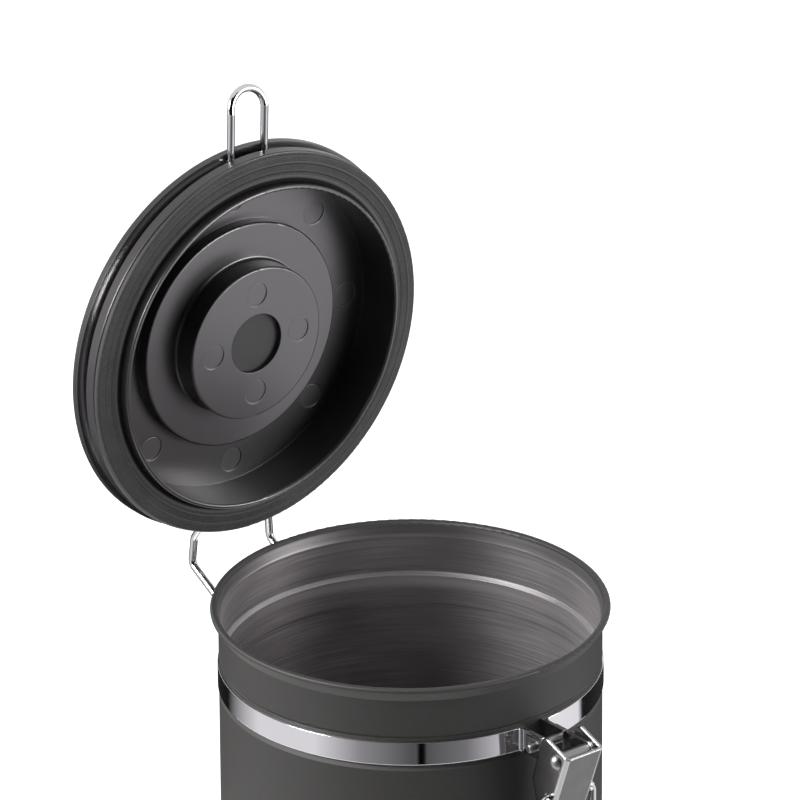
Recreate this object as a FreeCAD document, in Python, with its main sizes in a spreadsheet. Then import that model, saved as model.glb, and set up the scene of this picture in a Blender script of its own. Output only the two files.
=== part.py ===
import FreeCAD, Part
import math
import os
import Sketcher

# Coffee canister with a valve lid, in millimetres. +Z is up, the origin is on the can's axis at its base,
# the latch is at the front (-Y) and the hinge at the back (+Y). The lid stands open.

Vector = FreeCAD.Vector
X_AXIS = Vector(1, 0, 0)
Y_AXIS = Vector(0, 1, 0)

SIZES = (
    # can
    ("can_height", "165", "base to the top of the rim"),
    ("body_radius", "60", "outside of the can's wall"),
    ("wall", "0.7", "sheet of the can"),
    ("rim_flare", "2.5", "rolled rim beyond the wall"),
    ("curl_radius", "1.1", "section radius of the rolled rim"),
    ("flare_height", "5", "neck that widens below the rim"),
    ("base_corner", "3", "outside radius at the foot"),
    ("base_lip", "4.5", "flange turned in under the base"),
    ("base_dish", "2", "rise of the middle of the base"),
    ("base_fit", "0.1", "room round the base in the wall"),
    # clamp band
    ("band_drop", "23", "top of the rim to the middle of the band"),
    ("band_height", "7.5", "height of the band"),
    ("band_thick", "1.3", "thickness of the band"),
    ("band_fit", "0.1", "room between the band and its groove"),
    ("groove_depth", "1", "depth of the band's groove"),
    ("groove_room", "1", "groove left free above and below the band"),
    ("groove_slope", "1.2", "height of the groove's shoulders"),
    ("ear_gap", "7.4", "clear width between the band's ears"),
    ("ear_end", "3", "ear pin to the ends of the ears"),
    ("ear_bend", "1", "inside radius of the ears' bends"),
    # latch
    ("pin_out", "6.6", "face of the band to the ear pin"),
    ("pin_diameter", "3", "ear pin"),
    ("pin_overhang", "1.9", "ear pin beyond the yoke"),
    ("pin_fit", "0.05", "radial room of pins in their holes"),
    ("yoke_length", "12.5", "ear pin to lever rivet"),
    ("yoke_round", "3.2", "end radius of the yoke"),
    ("yoke_thick", "1", "sheet of the yoke"),
    ("yoke_gap", "0.1", "room between the yoke and the ears"),
    ("spacer_wall", "0.8", "wall of the tube on the rivet"),
    ("rivet_diameter", "3", "shank of the lever rivet"),
    ("rivet_head", "5.5", "head of the lever rivet"),
    ("rivet_dome", "1.7", "height of that head"),
    ("lever_gap", "0.2", "room between the lever and its neighbours"),
    ("lever_sheet", "1", "sheet of the lever"),
    ("lever_lean_angle", "20.2", "angle of the lever to the vertical"),
    ("lever_rise", "1.2", "top of the lever above the yoke"),
    ("lever_room", "0.4", "room between the yoke's end and the lever's face"),
    ("lever_cheek", "8", "rivet to the back of the cheeks"),
    ("lever_length", "46", "rivet to the foot of the lever"),
    ("lever_edge", "1.4", "outside radius of the lever's bends"),
    ("bail_hole_out", "1.5", "bail hole in front of the rivet"),
    ("bail_hole_down", "14", "bail hole below the rivet"),
    ("bail_room", "0.15", "room between the bail and the rivet's heads"),
    ("bail_corner", "4", "bend radius of the bail"),
    ("bail_tail", "0.8", "bail ends inside the lever's cheeks"),
    ("hook_gap", "0.3", "room between the bail and the lid's loop"),
    # wire
    ("wire", "2.5", "diameter of the lid wire, hinge link and bail"),
    ("wire_bend", "3", "bend radius of the wires"),
    ("wire_butt", "0.4", "gap between the ends of the lid wire"),
    # lid, measured up from the plane of its mouth
    ("seat_gap", "0.15", "closed lid's gasket above the rim"),
    ("collar_room", "4.9", "room between the collar and the can"),
    ("collar_wall", "1.5", "wall of the collar"),
    ("collar_draft", "0.2", "taper of the collar's inside"),
    ("collar_depth", "3.2", "collar below the gasket"),
    ("gasket_thick", "1.6", "gasket"),
    ("gasket_overhang", "1.1", "gasket beyond the rim"),
    ("gasket_edge", "0.9", "radius of the gasket's edge"),
    ("flange_overhang", "0.4", "lower flange beyond the gasket"),
    ("lower_flange_thick", "3.8", "thickness of that flange"),
    ("ring_inset", "3", "middle of the wire inside the lower flange's edge"),
    ("ring_fit", "0.05", "room round the wire in its groove"),
    ("ring_play", "0.6", "more room over the wire"),
    ("edge_overhang", "1", "lid's edge beyond the lower flange"),
    ("upper_flange_thick", "1", "flange over the wire"),
    ("cover_gap", "0.05", "joint between the cover and the body"),
    ("cover_thick", "2", "wall of the cover"),
    ("cover_edge", "2.6", "radius round the cover's raised middle"),
    ("cover_rim", "1.75", "height of the cover's edge"),
    ("cover_rim_edge", "0.5", "chamfer of that edge"),
    ("cover_step", "5", "that edge to the raised middle"),
    ("cover_room", "0.2", "room between the pan and the cover"),
    ("floor_height", "16.2", "mouth to the floor of the pan"),
    ("floor_thick", "1.8", "plates of the pan"),
    ("step_rise", "4", "floor of the pan to the middle step"),
    ("step_width", "12.1", "width of the middle step"),
    ("step_edge", "0.6", "edge radius of the step and the boss"),
    ("boss_rise", "8", "middle step to the face of the boss"),
    ("boss_room", "8.8", "room in the boss round the valve"),
    ("boss_root", "0.8", "radius at the root of the boss"),
    ("port_ledge", "3", "ledge round the valve opening"),
    ("mark_radius", "4", "round marks on the underside"),
    ("mark_depth", "0.25", "depth of those marks"),
    ("boss_mark_in", "6.9", "edge of the opening to the middle of the marks"),
    ("floor_mark_in", "7.3", "edge of the floor to the middle of the marks"),
    # valve
    ("filter_radius", "13", "filter disc"),
    ("filter_thick", "0.9", "filter disc"),
    ("valve_fit", "0.1", "room between the valve's pieces"),
    ("socket_wall", "1.9", "ring that holds the valve"),
    ("socket_height", "7.4", "height of that ring"),
    ("seat_skirt", "2.6", "seat plate above the filter"),
    ("seat_plate", "1.6", "seat plate"),
    ("seat_wall", "1.6", "rim of the seat"),
    ("seat_rim", "3.4", "rim above the seat plate"),
    ("umbrella_room", "3", "room round the valve disc"),
    ("umbrella_thick", "1", "valve disc"),
    ("stem_radius", "1.5", "stem of the valve disc"),
    ("stem_knob", "2.3", "knob on that stem"),
    ("knob_height", "1", "height of the knob"),
    ("valve_lift", "0.8", "travel of the valve disc"),
    ("vent_radius", "1.1", "vent holes"),
    ("vent_ring", "5.2", "middle of the vent holes"),
    ("cap_thick", "1.5", "cage over the valve"),
    ("cover_dip", "0.8", "depth of the vent dip in the cover"),
    # hinge
    ("pivot_out", "7.16", "face of the band to the link's pivot"),
    ("pivot_below", "4.92", "middle of the band down to the link's pivot"),
    ("plate_thick", "1.2", "hinge plate"),
    ("plate_fit", "0.05", "room between the hinge plate and the band"),
    ("plate_margin", "1.5", "hinge plate beyond the tabs"),
    ("plate_rise", "9.4", "hinge plate above the pivot"),
    ("plate_fall", "6.1", "hinge plate below the pivot"),
    ("barrel_wall", "1", "wall of the barrel"),
    ("barrel_room", "2.7", "room between the barrel and the link's bends"),
    ("stop_width", "3", "tabs under the link's legs"),
    ("stop_reach", "7", "tabs beyond the pivot"),
    ("stop_gap", "0.1", "room between the tabs and the legs"),
    ("plate_rivet_x", "9", "hinge rivets off the middle"),
    ("plate_rivet_up", "1.3", "hinge rivets above the middle of the band"),
    ("plate_rivet_diameter", "2.4", "shank of the hinge rivets"),
    ("plate_rivet_head", "2.2", "head radius of the hinge rivets"),
    ("plate_rivet_dome", "1", "height of their heads"),
    ("axle_inset", "2.3", "hinge axle inside the round of the lid wire"),
    ("axle_bend", "6", "bend of the lid wire beside the axle"),
    ("eye_wall", "1.1", "eyes of the link"),
    ("eye_inset", "1.5", "eyes inside the legs"),
    ("leg_spread", "15.7", "half width between the elbows"),
    ("elbow_out", "23.44", "pivot to elbow, outwards"),
    ("elbow_up", "13.12", "pivot to elbow, upwards"),
    ("knee_out", "23.04", "pivot to the upper bend, outwards"),
    ("knee_up", "22.02", "pivot to the upper bend, upwards"),
    ("recess_side", "2.3", "hinge recess beyond the link's legs"),
    ("recess_room", "0.3", "room round the eyes in that recess"),
    ("recess_thick", "1.2", "back wall of that recess in the cover"),
    ("link_open_angle", "42.2", "angle the link turns from closed to open"),
    ("lid_open_angle", "87.8", "angle the lid turns from closed to open"),
    # front loop of the lid wire
    ("loop_half", "6.6", "half width of the loop"),
    ("loop_length", "20.5", "edge of the lid to the loop's tip"),
    ("loop_tilt_angle", "15", "rise of the loop's tip, degrees"),
    ("loop_kink", "4", "bend radius at the foot of that tip"),
)

VENTS = 6
BOSS_MARKS = 4
FLOOR_MARKS = 8


class Dim:
    """A size: its number, and the expression in the sheet's names that gives it."""

    def __init__(self, value, text):
        self.value = value
        self.text = text

    def __add__(self, other):
        other = dim(other)
        return Dim(self.value + other.value, f"({self.text} + {other.text})")

    def __sub__(self, other):
        other = dim(other)
        return Dim(self.value - other.value, f"({self.text} - {other.text})")

    def __mul__(self, other):
        other = dim(other)
        return Dim(self.value * other.value, f"({self.text} * {other.text})")

    def __truediv__(self, other):
        other = dim(other)
        return Dim(self.value / other.value, f"({self.text} / {other.text})")

    def __neg__(self):
        return Dim(-self.value, f"(0 - {self.text})")

    def sqrt(self):
        return Dim(math.sqrt(self.value), f"sqrt({self.text})")

    def asin(self):
        return Dim(math.degrees(math.asin(self.value)), f"asin({self.text})")


def dim(value):
    """A Dim, whether a Dim or a plain number was given."""
    return value if isinstance(value, Dim) else Dim(float(value), repr(value))


def fill_sheet(doc):
    """Write the sizes into the sheet and return them by name."""
    sheet = doc.addObject("Spreadsheet::Sheet", "Sizes")
    for row, (alias, number, meaning) in enumerate(SIZES, start=1):
        sheet.set(f"A{row}", meaning)
        sheet.set(f"B{row}", number)
        sheet.setAlias(f"B{row}", alias)
    doc.recompute()
    return {alias: Dim(float(getattr(sheet, alias)), f"Sizes.{alias}") for alias, number, meaning in SIZES}


# Sketches and features

def new_body(doc, label, placement=None):
    body = doc.addObject("PartDesign::Body", label)
    body.Label = label
    if placement:
        body.Placement = placement
    return body


def new_sketch(body, role):
    sketch = body.newObject("Sketcher::SketchObject", f"{body.Name}_sketch")
    plane = next(item for item in body.Origin.OriginFeatures if item.Role == role)
    sketch.AttachmentSupport = [(plane, "")]
    sketch.MapMode = "FlatFace"
    return sketch


def hold(sketch, kind, geometry, position, size):
    """Fix one coordinate of a sketch point to a size."""
    size = dim(size)
    if size.value == 0:
        axis = -2 if kind == "DistanceX" else -1
        sketch.addConstraint(Sketcher.Constraint("PointOnObject", geometry, position, axis))
        return
    number = sketch.addConstraint(Sketcher.Constraint(kind, -1, 1, geometry, position, size.value))
    sketch.setExpression(f"Constraints[{number}]", size.text)


def arc_between(start, end, radius, left):
    """The smaller arc from start to end, turning left or right on its way."""
    along = end - start
    side = Vector(-along.y, along.x, 0).normalize()
    rise = math.sqrt(max(radius ** 2 - (along.Length / 2) ** 2, 0))
    centre = (start + end) * 0.5 + side * (rise if left else -rise)
    first, last = (start, end) if left else (end, start)
    angles = [math.atan2(point.y - centre.y, point.x - centre.x) for point in (first, last)]
    circle = Part.Circle(centre, Vector(0, 0, 1), radius)
    return Part.ArcOfCircle(circle, angles[0], angles[1])


def outline(body, role, corners):
    """Closed sketch through the corners; a corner with a radius is reached by an arc, left or right."""
    sketch = new_sketch(body, role)
    points = [Vector(dim(corner[0]).value, dim(corner[1]).value, 0) for corner in corners]
    ends = []
    for index, corner in enumerate(corners):
        start, end = points[index - 1], points[index]
        if len(corner) == 2:
            sketch.addGeometry(Part.LineSegment(start, end), False)
            ends.append((1, 2))
        else:
            left = corner[3] == "left"
            sketch.addGeometry(arc_between(start, end, dim(corner[2]).value, left), False)
            ends.append((1, 2) if left else (2, 1))
    for index in range(len(corners)):
        after = (index + 1) % len(corners)
        sketch.addConstraint(Sketcher.Constraint("Coincident", index, ends[index][1], after, ends[after][0]))
    for index, corner in enumerate(corners):
        hold(sketch, "DistanceX", index, ends[index][1], corner[0])
        hold(sketch, "DistanceY", index, ends[index][1], corner[1])
        if len(corner) > 2:
            radius = dim(corner[2])
            number = sketch.addConstraint(Sketcher.Constraint("Radius", index, radius.value))
            sketch.setExpression(f"Constraints[{number}]", radius.text)
    return sketch


def circles(body, role, centres, radius):
    """Sketch of equal circles."""
    sketch = new_sketch(body, role)
    radius = dim(radius)
    for across, up in centres:
        middle = Vector(dim(across).value, dim(up).value, 0)
        index = sketch.addGeometry(Part.Circle(middle, Vector(0, 0, 1), radius.value), False)
        hold(sketch, "DistanceX", index, 3, across)
        hold(sketch, "DistanceY", index, 3, up)
        number = sketch.addConstraint(Sketcher.Constraint("Radius", index, radius.value))
        sketch.setExpression(f"Constraints[{number}]", radius.text)
    return sketch


def rectangle(left, right, bottom, top):
    return [(left, bottom), (right, bottom), (right, top), (left, top)]


def revolve(body, sketch, angle=None):
    """Turn a sketch round its upright axis, all the way or to both sides of the sketch."""
    feature = body.newObject("PartDesign::Revolution", f"{body.Name}_turn")
    feature.Profile = sketch
    feature.ReferenceAxis = (sketch, ["V_Axis"])
    feature.Angle = 360
    if angle:
        feature.Midplane = True
        feature.setExpression("Angle", angle.text)
    return feature


def extrude(body, kind, sketch, length, both_ways=True):
    feature = body.newObject(f"PartDesign::{kind}", f"{body.Name}_{kind.lower()}")
    feature.Profile = sketch
    feature.SideType = "Symmetric" if both_ways else "One side"
    feature.setExpression("Length", dim(length).text)
    return feature


def pad(body, sketch, length, both_ways=True):
    return extrude(body, "Pad", sketch, length, both_ways)


def pocket(body, sketch, length, both_ways=True):
    return extrude(body, "Pocket", sketch, length, both_ways)


def repeat_round(body, feature, sketch, count):
    """Repeat a feature evenly round the body's axis."""
    pattern = body.newObject("PartDesign::PolarPattern", f"{body.Name}_round")
    pattern.Originals = [feature]
    pattern.Axis = (sketch, ["N_Axis"])
    pattern.Angle = 360
    pattern.Occurrences = count
    body.Tip = pattern
    return pattern


def turned(doc, label, corners, placement=None):
    """A turned piece from its half outline."""
    body = new_body(doc, label, placement)
    revolve(body, outline(body, "XZ_Plane", corners))
    return body


def shaped(doc, label, shape):
    """A sub-part whose shape is worked out here."""
    feature = doc.addObject("Part::Feature", label)
    feature.Label = label
    feature.Shape = shape
    return feature


# Wire work

def bent_path(corners):
    """Edges of a path through (point, bend radius) corners, with tangent arcs at the bends."""
    edges = []
    start = corners[0][0]
    for (before, _), (corner, radius), (after, _) in zip(corners, corners[1:], corners[2:]):
        back = (before - corner).normalize()
        ahead = (after - corner).normalize()
        turn = math.pi - back.getAngle(ahead)
        setback = radius * math.tan(turn / 2)
        middle = (back + ahead).normalize()
        entry, leave = corner + back * setback, corner + ahead * setback
        inner = corner + middle * (radius / math.cos(turn / 2) - radius)
        edges.append(Part.LineSegment(start, entry).toShape())
        edges.append(Part.Arc(entry, inner, leave).toShape())
        start = leave
    edges.append(Part.LineSegment(start, corners[-1][0]).toShape())
    return edges


def wire_along(edges, diameter):
    """Round wire along a path of edges."""
    first = edges[0]
    start = first.valueAt(first.FirstParameter)
    heading = first.tangentAt(first.FirstParameter)
    section = Part.Wire(Part.makeCircle(diameter / 2, start, heading))
    solid = Part.Wire(edges).makePipeShell([section], True, False)
    expected = math.pi * diameter ** 2 / 4 * sum(edge.Length for edge in edges)
    if abs(solid.Volume / expected - 1) > 0.02:
        raise RuntimeError("a wire's volume doesn't match its length")
    return solid


def opened(point, centre, degrees):
    """A point of the side view after the hinge has turned towards open."""
    turn = math.radians(degrees)
    across, up = point[0] - centre[0], point[1] - centre[1]
    return (
        centre[0] + across * math.cos(turn) + up * math.sin(turn),
        centre[1] - across * math.sin(turn) + up * math.cos(turn),
    )


class Canister:
    """The pieces of the canister, built in one document from one sheet of sizes."""

    def __init__(self, doc):
        self.doc = doc
        size = fill_sheet(doc)
        self.size = size
        self.parts = []
        # can and band
        self.rim_radius = size["body_radius"] + size["rim_flare"]
        self.rim_middle = size["can_height"] - size["curl_radius"]
        self.band_middle = size["can_height"] - size["band_drop"]
        self.groove_floor = size["body_radius"] - size["groove_depth"]
        self.band_inner = self.groove_floor + size["band_fit"]
        self.band_outer = self.band_inner + size["band_thick"]
        # latch
        self.ear_outer = size["ear_gap"] / 2 + size["band_thick"]
        self.pin_reach = self.band_outer + size["pin_out"]
        self.ear_tip = self.pin_reach + size["ear_end"]
        self.rivet_reach = self.pin_reach + size["yoke_length"]
        self.yoke_inner = self.ear_outer + size["yoke_gap"]
        self.yoke_outer = self.yoke_inner + size["yoke_thick"]
        self.lever_inner = self.yoke_outer + size["lever_gap"]
        self.lever_outer = self.lever_inner + size["lever_sheet"]
        self.lever_web = size["yoke_round"] + size["lever_room"] + size["lever_sheet"]
        # lid, up from its mouth
        self.mouth = size["can_height"] + size["seat_gap"] - size["collar_depth"]
        self.gasket_top = size["collar_depth"] + size["gasket_thick"]
        self.groove_low = self.gasket_top + size["lower_flange_thick"]
        self.ring_height = self.groove_low + size["ring_fit"] + size["wire"] / 2
        self.groove_high = self.ring_height + size["wire"] / 2 + size["ring_fit"] + size["ring_play"]
        self.flange_top = self.groove_high + size["upper_flange_thick"]
        self.cover_low = self.flange_top + size["cover_gap"]
        self.cover_inside = size["floor_height"] + size["floor_thick"] + size["cover_room"]
        self.lid_height = self.cover_inside + size["cover_thick"]
        self.step_height = size["floor_height"] - size["step_rise"]
        self.boss_height = self.step_height - size["boss_rise"]
        # lid, out from its axis
        self.collar_outer = size["body_radius"] - size["wall"] - size["collar_room"]
        self.collar_inner = self.collar_outer - size["collar_wall"]
        self.gasket_radius = self.rim_radius + size["gasket_overhang"]
        self.lower_flange = self.gasket_radius + size["flange_overhang"]
        self.ring_radius = self.lower_flange - size["ring_inset"]
        self.lid_radius = self.lower_flange + size["edge_overhang"]
        self.socket = size["filter_radius"] + size["valve_fit"]
        self.socket_outer = self.socket + size["socket_wall"]
        self.boss_radius = self.socket_outer + size["boss_room"] + size["floor_thick"]
        self.step_radius = self.boss_radius + size["step_width"]
        self.port_radius = size["filter_radius"] - size["port_ledge"]
        self.seat_inner = size["filter_radius"] - size["seat_wall"]
        # hinge
        self.plate_inner = self.band_outer + size["plate_fit"]
        self.plate_outer = self.plate_inner + size["plate_thick"]
        self.pivot_reach = self.band_outer + size["pivot_out"]
        self.pivot_height = self.band_middle - size["pivot_below"]
        self.plate_rivet_height = self.band_middle + size["plate_rivet_up"]
        self.eye_spread = size["leg_spread"] - size["eye_inset"]
        self.barrel_length = (size["leg_spread"] - size["wire_bend"] - size["barrel_room"]) * 2
        self.axle_reach = self.ring_radius - size["axle_inset"]
        self.eye_radius = size["wire"] / 2 + size["pin_fit"] + size["eye_wall"]
        self.recess_half = size["leg_spread"] + size["recess_side"]
        self.recess_wall = self.axle_reach - self.eye_radius - size["recess_room"]
        self.recess_floor = self.ring_height - self.eye_radius - size["recess_room"]
        pivot = (self.pivot_reach.value, self.pivot_height.value)
        axle = (self.axle_reach.value, self.mouth.value + self.ring_height.value)
        self.axle = opened(axle, pivot, size["link_open_angle"].value)
        swung = opened((0, self.mouth.value), axle, size["lid_open_angle"].value)
        self.lid_place = FreeCAD.Placement(
            Vector(0, swung[0] + self.axle[0] - axle[0], swung[1] + self.axle[1] - axle[1]),
            FreeCAD.Rotation(X_AXIS, -size["lid_open_angle"].value),
        )

    def keep(self, part):
        self.parts.append(part)

    # Can

    def can_shell(self):
        s = self.size
        outside, inside = s["body_radius"], s["body_radius"] - s["wall"]
        floor, back = self.groove_floor, self.groove_floor - s["wall"]
        half = s["band_height"] / 2 + s["groove_room"]
        low, high = self.band_middle - half, self.band_middle + half
        flare = s["can_height"] - s["flare_height"]
        curl_middle = self.rim_radius - s["curl_radius"]
        lip = s["body_radius"] - s["base_lip"]
        inner_corner = s["base_corner"] - s["wall"]
        corners = [
            (lip, s["wall"]),
            (lip, 0),
            (outside - s["base_corner"], 0),
            (outside, s["base_corner"], s["base_corner"], "left"),
            (outside, low - s["groove_slope"]),
            (floor, low),
            (floor, high),
            (outside, high + s["groove_slope"]),
            (outside, flare),
            (curl_middle, self.rim_middle - s["curl_radius"]),
            (self.rim_radius, self.rim_middle, s["curl_radius"], "left"),
            (curl_middle, s["can_height"], s["curl_radius"], "left"),
            (curl_middle - s["curl_radius"], self.rim_middle, s["curl_radius"], "left"),
            (inside, flare),
            (inside, high + s["groove_slope"]),
            (back, high),
            (back, low),
            (inside, low - s["groove_slope"]),
            (inside, s["base_corner"]),
            (inside - inner_corner, s["wall"], inner_corner, "right"),
        ]
        self.keep(turned(self.doc, "can_shell", corners))

    def can_base(self):
        s = self.size
        edge = s["body_radius"] - s["base_corner"] - s["base_fit"]
        shoulder = s["body_radius"] - s["base_lip"] - s["base_dish"]
        under, over = s["wall"], s["wall"] * 2
        corners = [
            (0, over + s["base_dish"]),
            (0, under + s["base_dish"]),
            (shoulder - s["base_dish"], under + s["base_dish"]),
            (shoulder, under),
            (edge, under),
            (edge, over),
            (shoulder, over),
            (shoulder - s["base_dish"], over + s["base_dish"]),
        ]
        self.keep(turned(self.doc, "can_base", corners))

    # Clamp band and latch

    def clamp_band(self):
        s = self.size
        outer, inner = self.band_outer, self.band_inner
        gap, ear = s["ear_gap"] / 2, self.ear_outer
        tip = -self.ear_tip
        bend = s["ear_bend"]
        # where the bends leave the round of the strap
        outer_x = ear + bend
        fillet_y = ((outer + bend) * (outer + bend) - outer_x * outer_x).sqrt()
        share = outer / (outer + bend)
        inner_y = (inner * inner - gap * gap).sqrt()
        body = new_body(self.doc, "clamp_band")
        corners = [
            (gap, -inner_y),
            (0, inner, inner, "left"),
            (-gap, -inner_y, inner, "left"),
            (-gap, tip),
            (-ear, tip),
            (-ear, -fillet_y),
            (-(outer_x * share), -(fillet_y * share), bend, "right"),
            (0, outer, outer, "right"),
            (outer_x * share, -(fillet_y * share), outer, "right"),
            (ear, -fillet_y, bend, "right"),
            (ear, tip),
            (gap, tip),
        ]
        sketch = outline(body, "XY_Plane", corners)
        strap = pad(body, sketch, s["band_height"])
        sketch.setExpression("AttachmentOffset.Base.z", self.band_middle.text)
        strap.Refine = True
        pin = (-self.pin_reach, self.band_middle)
        bores = circles(body, "YZ_Plane", [pin], s["pin_diameter"] / 2 + s["pin_fit"])
        pocket(body, bores, self.ear_outer * 4)
        across = s["plate_rivet_x"]
        spots = [(-across, self.plate_rivet_height), (across, self.plate_rivet_height)]
        holes = circles(body, "XZ_Plane", spots, s["plate_rivet_diameter"] / 2 + s["pin_fit"])
        pocket(body, holes, outer * 2, both_ways=False)
        self.keep(body)

    def sideways(self, reach, height):
        """Placement that lays a turned piece along X in front of the can."""
        return FreeCAD.Placement(Vector(0, -reach.value, height.value), FreeCAD.Rotation(Y_AXIS, 90))

    def ear_pin(self):
        s = self.size
        radius = s["pin_diameter"] / 2
        end = self.yoke_outer + s["pin_overhang"]
        edge = radius / 5
        corners = [
            (0, -end),
            (radius - edge, -end),
            (radius, edge - end),
            (radius, end - edge),
            (radius - edge, end),
            (0, end),
        ]
        self.keep(turned(self.doc, "ear_pin", corners, self.sideways(self.pin_reach, self.band_middle)))

    def latch_yoke(self):
        s = self.size
        body = new_body(self.doc, "latch_yoke")
        height, half = self.band_middle, s["yoke_round"]
        back = half - self.pin_reach
        corners = [
            (back, height - half),
            (back, height + half),
            (-self.rivet_reach, height + half),
            (-(self.rivet_reach + half), height, half, "left"),
            (-self.rivet_reach, height - half, half, "left"),
        ]
        pad(body, outline(body, "YZ_Plane", corners), self.yoke_outer * 2)
        # open between the plates, but for a bridge at the bottom between the ears and the rivet
        front = -(self.rivet_reach + half * 2)
        bridge_front = half - self.rivet_reach
        bridge_back = -(self.ear_tip + s["yoke_thick"])
        bridge = height - half + s["yoke_thick"]
        low, high = height - half * 2, height + half * 2
        hollow = [
            (back, low),
            (back, high),
            (front, high),
            (front, low),
            (bridge_front, low),
            (bridge_front, bridge),
            (bridge_back, bridge),
            (bridge_back, low),
        ]
        pocket(body, outline(body, "YZ_Plane", hollow), self.yoke_inner * 2)
        radius = s["pin_diameter"] / 2 + s["pin_fit"]
        pocket(body, circles(body, "YZ_Plane", [(-self.pin_reach, height)], radius), self.yoke_outer * 4)
        radius = s["rivet_diameter"] / 2 + s["pin_fit"]
        pocket(body, circles(body, "YZ_Plane", [(-self.rivet_reach, height)], radius), self.yoke_outer * 4)
        self.keep(body)

    def lever_spacer(self):
        s = self.size
        bore = s["rivet_diameter"] / 2 + s["pin_fit"]
        outer = bore + s["spacer_wall"]
        end = self.yoke_inner - s["yoke_gap"]
        corners = rectangle(bore, outer, -end, end)
        place = self.sideways(self.rivet_reach, self.band_middle)
        self.keep(turned(self.doc, "lever_spacer", corners, place))

    def lever_rivet(self):
        s = self.size
        shank, head, dome = s["rivet_diameter"] / 2, s["rivet_head"] / 2, s["rivet_dome"]
        seat = self.lever_outer + s["pin_fit"]
        ball = (head * head + dome * dome) / (dome * 2)
        corners = [
            (0, -(seat + dome)),
            (head, -seat, ball, "left"),
            (shank, -seat),
            (shank, seat),
            (head, seat),
            (0, seat + dome, ball, "left"),
        ]
        place = self.sideways(self.rivet_reach, self.band_middle)
        self.keep(turned(self.doc, "lever_rivet", corners, place))

    def lever_place(self):
        spot = Vector(0, -self.rivet_reach.value, self.band_middle.value)
        return FreeCAD.Placement(spot, FreeCAD.Rotation(X_AXIS, self.size["lever_lean_angle"].value))

    def latch_lever(self):
        s = self.size
        body = new_body(self.doc, "latch_lever", self.lever_place())
        face, top, foot = -self.lever_web, s["yoke_round"] + s["lever_rise"], -s["lever_length"]
        cheek, sheet = s["lever_cheek"], s["lever_sheet"]
        hole = (-s["bail_hole_out"], -s["bail_hole_down"])
        shoulder = sheet * 2
        tail = cheek / 2 - self.lever_web
        corners = [
            (face, top),
            (face, foot),
            (face - sheet, foot - sheet * 3),
            (face, foot - sheet * 3),
            (face + sheet, foot),
            (tail, foot),
            (tail + sheet, hole[1] - sheet * 9),
            (tail + sheet * 4, hole[1] - sheet * 4),
            (cheek - sheet, hole[1] + sheet),
            (cheek, top - shoulder * 1.5),
            (cheek - shoulder, top, shoulder * 1.5, "left"),
        ]
        width = self.lever_outer * 2
        pad(body, outline(body, "YZ_Plane", corners), width)
        hollow = rectangle(face + sheet, cheek * 2, foot, top * 2)
        pocket(body, outline(body, "YZ_Plane", hollow), self.lever_inner * 2)
        pivot = circles(body, "YZ_Plane", [(0, 0)], s["rivet_diameter"] / 2 + s["pin_fit"])
        pocket(body, pivot, width * 2)
        eye = circles(body, "YZ_Plane", [hole], s["wire"] / 2 + s["pin_fit"])
        last = pocket(body, eye, width * 2)
        self.doc.recompute()
        self.round_edges(body, last, self.on_lever_bend, s["lever_edge"])
        self.keep(body)

    def on_lever_bend(self, edge):
        """Whether an edge of the lever is one of its two long outside bends."""
        middle = edge.valueAt((edge.FirstParameter + edge.LastParameter) / 2)
        near_face = abs(middle.y + self.lever_web.value) < 0.01
        near_side = abs(abs(middle.x) - self.lever_outer.value) < 0.01
        return near_face and near_side and edge.Length > self.size["lever_length"].value / 2

    def round_edges(self, body, feature, chosen, radius):
        """Round the chosen edges of a feature."""
        names = [f"Edge{n}" for n, edge in enumerate(feature.Shape.Edges, start=1) if chosen(edge)]
        if not names:
            raise RuntimeError(f"{body.Label} has no edge to round")
        fillet = body.newObject("PartDesign::Fillet", f"{body.Name}_fillet")
        fillet.Base = (feature, names)
        fillet.setExpression("Radius", radius.text)

    def bail_pivot(self):
        hole = Vector(0, -self.size["bail_hole_out"].value, -self.size["bail_hole_down"].value)
        return self.lever_place().multVec(hole)

    def latch_bail(self):
        s = self.size
        pivot = self.bail_pivot()
        # the cross bar just clears the top of the lid's loop when it is swung up with the lid closed
        loop_height = self.mouth.value + self.ring_height.value
        length = loop_height + s["wire"].value + s["hook_gap"].value - pivot.z
        spread = (self.lever_outer + s["rivet_dome"] + s["bail_room"] + s["wire"] / 2).value
        tail = self.lever_inner.value - s["bail_tail"].value
        foot = Vector(0, 0, -length)
        corners = [
            (pivot - X_AXIS * tail, 0),
            (pivot - X_AXIS * spread, s["wire"].value),
            (pivot - X_AXIS * spread + foot, s["bail_corner"].value),
            (pivot + X_AXIS * spread + foot, s["bail_corner"].value),
            (pivot + X_AXIS * spread, s["wire"].value),
            (pivot + X_AXIS * tail, 0),
        ]
        self.keep(shaped(self.doc, "latch_bail", wire_along(bent_path(corners), s["wire"].value)))

    # Hinge

    def hinge_plate(self):
        s = self.size
        body = new_body(self.doc, "hinge_plate")
        pivot, height = self.pivot_reach, self.pivot_height
        low, high = height - s["plate_fall"], height + s["plate_rise"]
        sheet = rectangle(self.plate_inner, self.plate_outer, low, high)
        half_width = s["leg_spread"] + s["stop_width"] / 2 + s["plate_margin"]
        revolve(body, outline(body, "YZ_Plane", sheet), (half_width / self.plate_inner).asin() * 2)
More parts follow.
